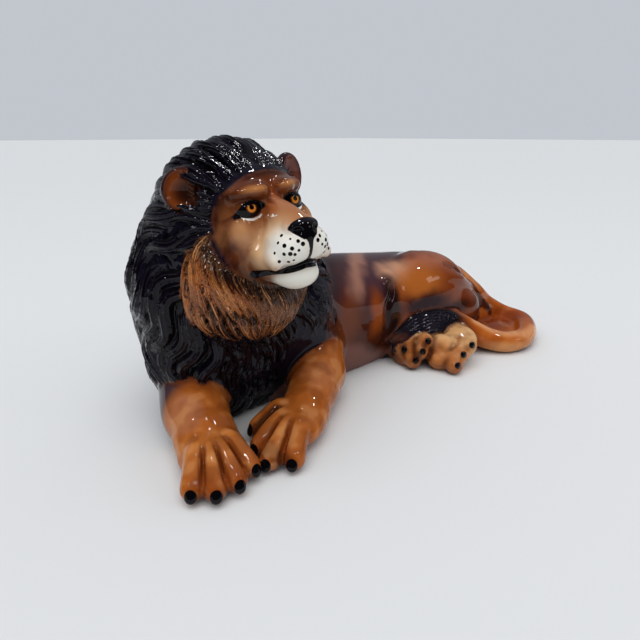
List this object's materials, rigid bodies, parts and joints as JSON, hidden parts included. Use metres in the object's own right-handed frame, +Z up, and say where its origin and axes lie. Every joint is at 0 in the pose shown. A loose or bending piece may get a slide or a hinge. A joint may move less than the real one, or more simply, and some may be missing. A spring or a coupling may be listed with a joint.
{
  "type": "ceramic lion sculpture",
  "caption": "Large reclining lion figure in glazed ceramic with its head turned to the side, for standing on a floor as decoration.",
  "frame": {"origin": "bottom centre of the bounding box, on the floor that the flat underside rests on", "axes": "+Z up; the body lies along X with the tail end at +X; the face and the right forepaw point to -Y"},
  "size_m": [0.8481, 0.3417, 0.3993],
  "materials": {
    "glazed_ceramic": "hand-painted in black, orange-brown and cream under a clear, very glossy glaze"
  },
  "bodies": {
    "root": {"lion": "glazed_ceramic"}
  },
  "joints": []
}
